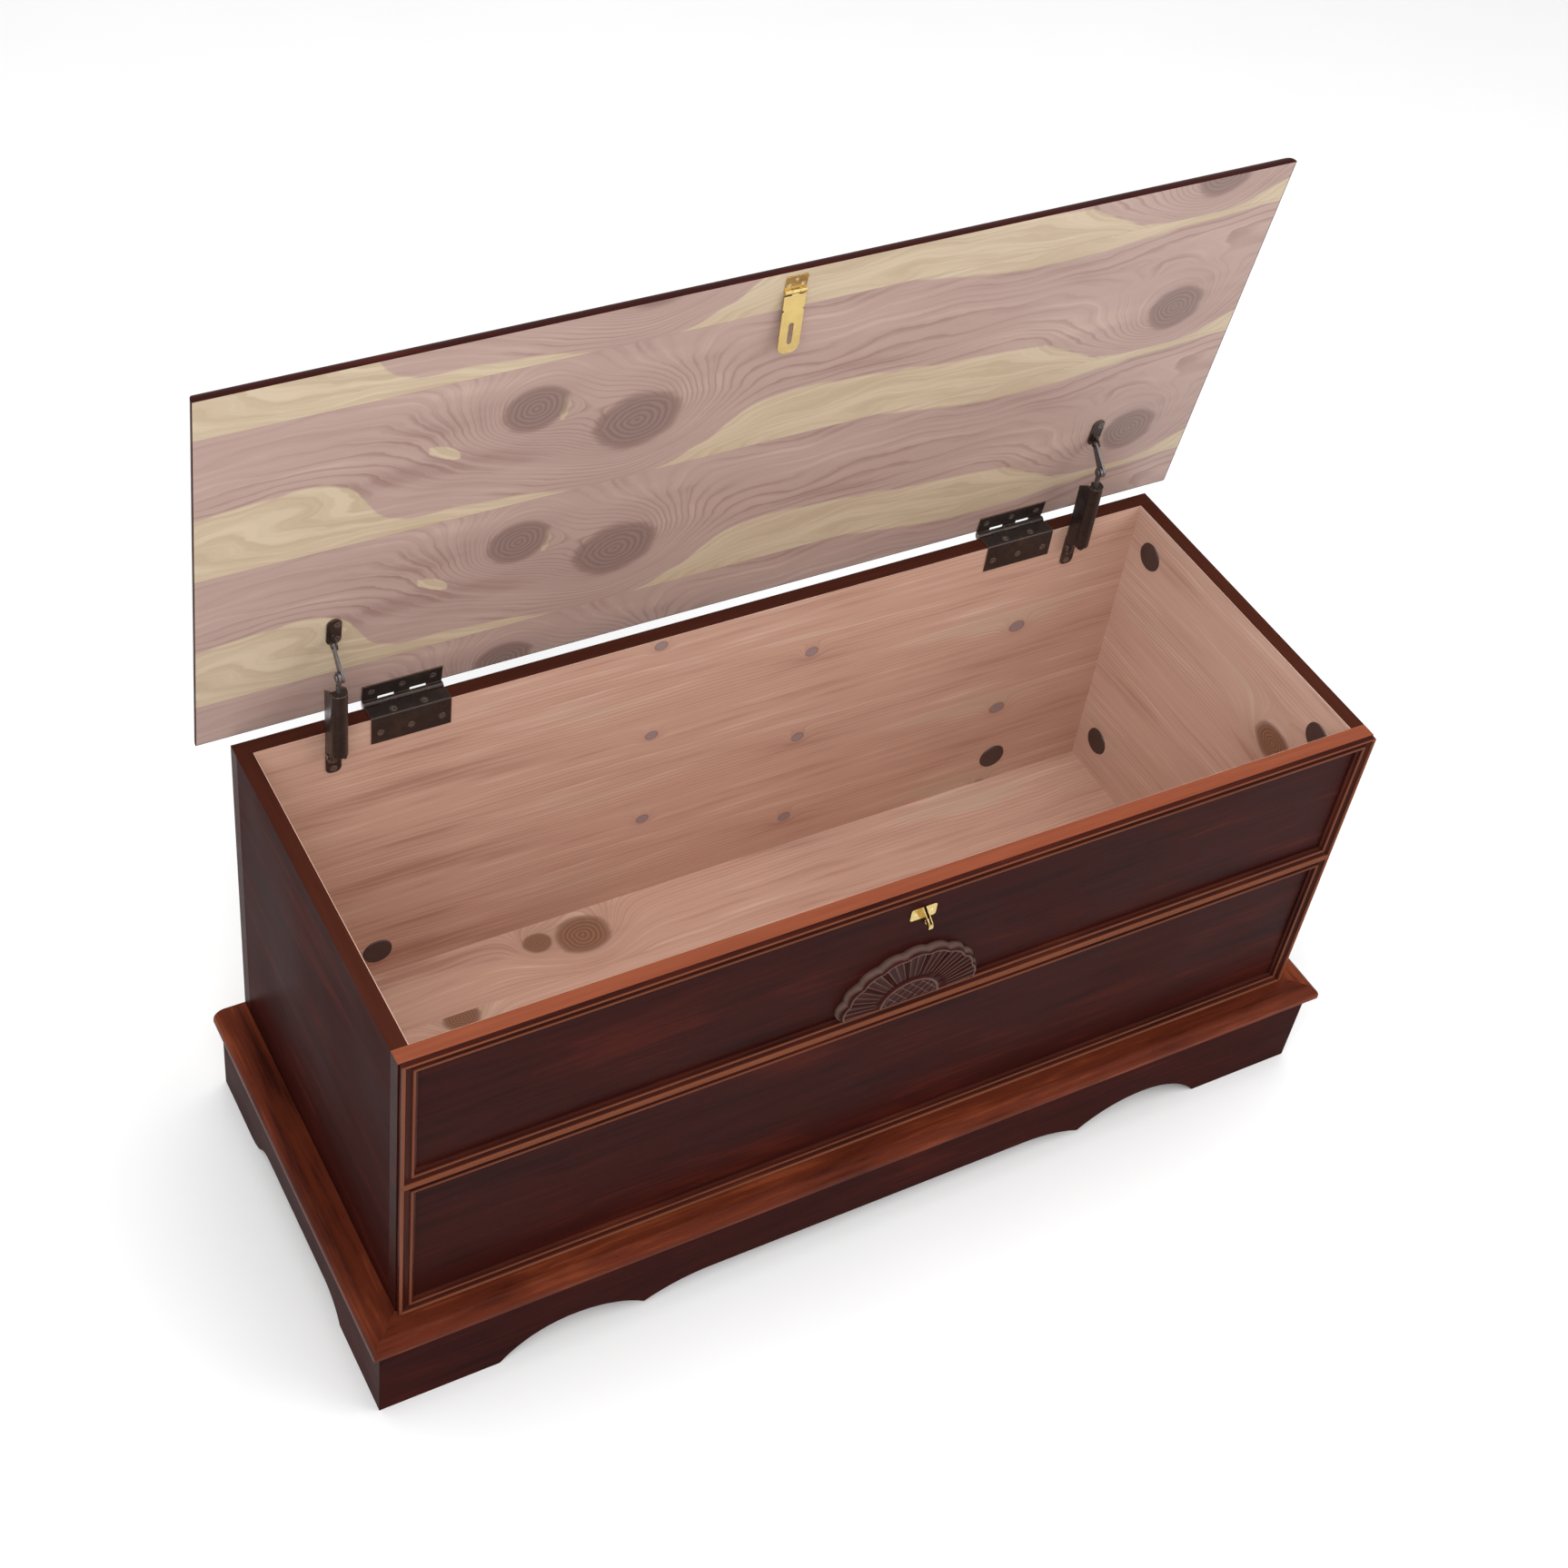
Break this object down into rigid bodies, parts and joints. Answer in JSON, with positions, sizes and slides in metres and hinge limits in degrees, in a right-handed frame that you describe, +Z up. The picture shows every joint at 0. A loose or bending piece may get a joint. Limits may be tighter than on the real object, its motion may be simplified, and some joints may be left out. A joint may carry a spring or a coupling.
{
  "type": "blanket chest",
  "caption": "Open wooden blanket chest with a cedar-lined inside, picture-frame mouldings, a carved fan, a scalloped plinth, butt hinges, folding lid supports and a hasp with its staple.",
  "frame": {"origin": "on the floor, below the middle of the open chest's overall box", "axes": "+X along the width, to the right seen from the front; +Y to the back; +Z up; the front faces -Y"},
  "size_m": [1.2, 0.4983, 1.0068],
  "materials": {
    "case_wood": "satin",
    "moulding_wood": "satin",
    "raw_wood": "matte",
    "cedar": "satin",
    "bronze": "antique satin",
    "brass": "polished",
    "spring_steel": "bright",
    "zinc": "bright",
    "cap_plastic": "matte"
  },
  "bodies": {
    "carcase": {"back_lining": "cedar", "back_panel": "case_wood", "back_rail": "raw_wood", "cam_fittings": "zinc", "corner_blocks": "raw_wood", "cover_caps": "cap_plastic", "fan_carving": "case_wood", "floor_board": "raw_wood", "floor_lining": "cedar", "front_ledge": "moulding_wood", "front_lining": "cedar", "front_panel": "case_wood", "front_skirt": "case_wood", "hinge_rim_screws": "bronze", "left_hinge_rim_leaf": "bronze", "left_ledge": "moulding_wood", "left_side_lining": "cedar", "left_side_panel": "case_wood", "left_skirt": "case_wood", "left_support_bracket": "bronze", "lower_bottom_moulding": "moulding_wood", "lower_left_moulding": "moulding_wood", "lower_right_moulding": "moulding_wood", "lower_top_moulding": "moulding_wood", "plinth_cleats": "raw_wood", "right_hinge_rim_leaf": "bronze", "right_ledge": "moulding_wood", "right_side_lining": "cedar", "right_side_panel": "case_wood", "right_skirt": "case_wood", "right_support_bracket": "bronze", "staple": "brass", "staple_screws": "brass", "support_bracket_screws": "bronze", "support_pivot_rivets": "bronze", "upper_bottom_moulding": "moulding_wood", "upper_left_moulding": "moulding_wood", "upper_right_moulding": "moulding_wood", "upper_top_moulding": "moulding_wood"},
    "lid": {"lid_panel": "case_wood", "lid_lining": "cedar", "left_hinge_lid_leaf": "bronze", "right_hinge_lid_leaf": "bronze", "hinge_pins": "bronze", "hinge_lid_screws": "bronze", "left_support_foot": "bronze", "right_support_foot": "bronze", "support_foot_screws": "bronze", "hasp_leaf": "brass", "hasp_pin": "brass", "hasp_screws": "brass"},
    "left_housing": {"left_support_housing": "bronze", "left_support_spring": "spring_steel"},
    "left_rod": {"left_support_rod": "bronze"},
    "left_link": {"left_support_link": "bronze"},
    "right_housing": {"right_support_housing": "bronze", "right_support_spring": "spring_steel"},
    "right_rod": {"right_support_rod": "bronze"},
    "right_link": {"right_support_link": "bronze"},
    "strap": {"hasp_strap": "brass"}
  },
  "joints": [
    {"name": "lid_hinge", "type": "hinge", "parent": "carcase", "child": "lid", "pos_m": [0, 0.2291, 0.5336], "axis": [1, 0, 0], "range_deg": [0, 82.87]},
    {"name": "left_strut_pivot", "type": "hinge", "parent": "carcase", "child": "left_housing", "pos_m": [-0.461, 0.197, 0.509], "axis": [1, 0, 0], "range_deg": [0, 84.91]},
    {"name": "left_rod_slide", "type": "slide", "parent": "left_housing", "child": "left_rod", "axis": [0, 0, 1], "range_m": [-0.00696, 0], "deforming": ["left_support_spring"]},
    {"name": "left_link_pivot", "type": "hinge", "parent": "lid", "child": "left_link", "pos_m": [-0.461, 0.20913, 0.64811], "axis": [1, 0, 0], "range_deg": [-94.71, 0]},
    {"name": "right_strut_pivot", "type": "hinge", "parent": "carcase", "child": "right_housing", "pos_m": [0.45, 0.197, 0.509], "axis": [1, 0, 0], "range_deg": [0, 84.91]},
    {"name": "right_rod_slide", "type": "slide", "parent": "right_housing", "child": "right_rod", "axis": [0, 0, 1], "range_m": [-0.00696, 0], "deforming": ["right_support_spring"]},
    {"name": "right_link_pivot", "type": "hinge", "parent": "lid", "child": "right_link", "pos_m": [0.45, 0.20913, 0.64811], "axis": [1, 0, 0], "range_deg": [-94.71, 0]},
    {"name": "strap_hinge", "type": "hinge", "parent": "lid", "child": "strap", "pos_m": [0, 0.17482, 0.98203], "axis": [1, 0, 0], "range_deg": [-99.45, 0]}
  ],
  "couplings": [
    {"joint": "left_strut_pivot", "follows": "lid_hinge", "ratio": 1.0245},
    {"joint": "left_rod_slide", "follows": "lid_hinge", "m_per_rad": -0.004805},
    {"joint": "left_link_pivot", "follows": "lid_hinge", "ratio": -1.1427},
    {"joint": "right_strut_pivot", "follows": "lid_hinge", "ratio": 1.0245},
    {"joint": "right_rod_slide", "follows": "lid_hinge", "m_per_rad": -0.004805},
    {"joint": "right_link_pivot", "follows": "lid_hinge", "ratio": -1.1427},
    {"joint": "strap_hinge", "follows": "lid_hinge", "ratio": -1.2}
  ]
}
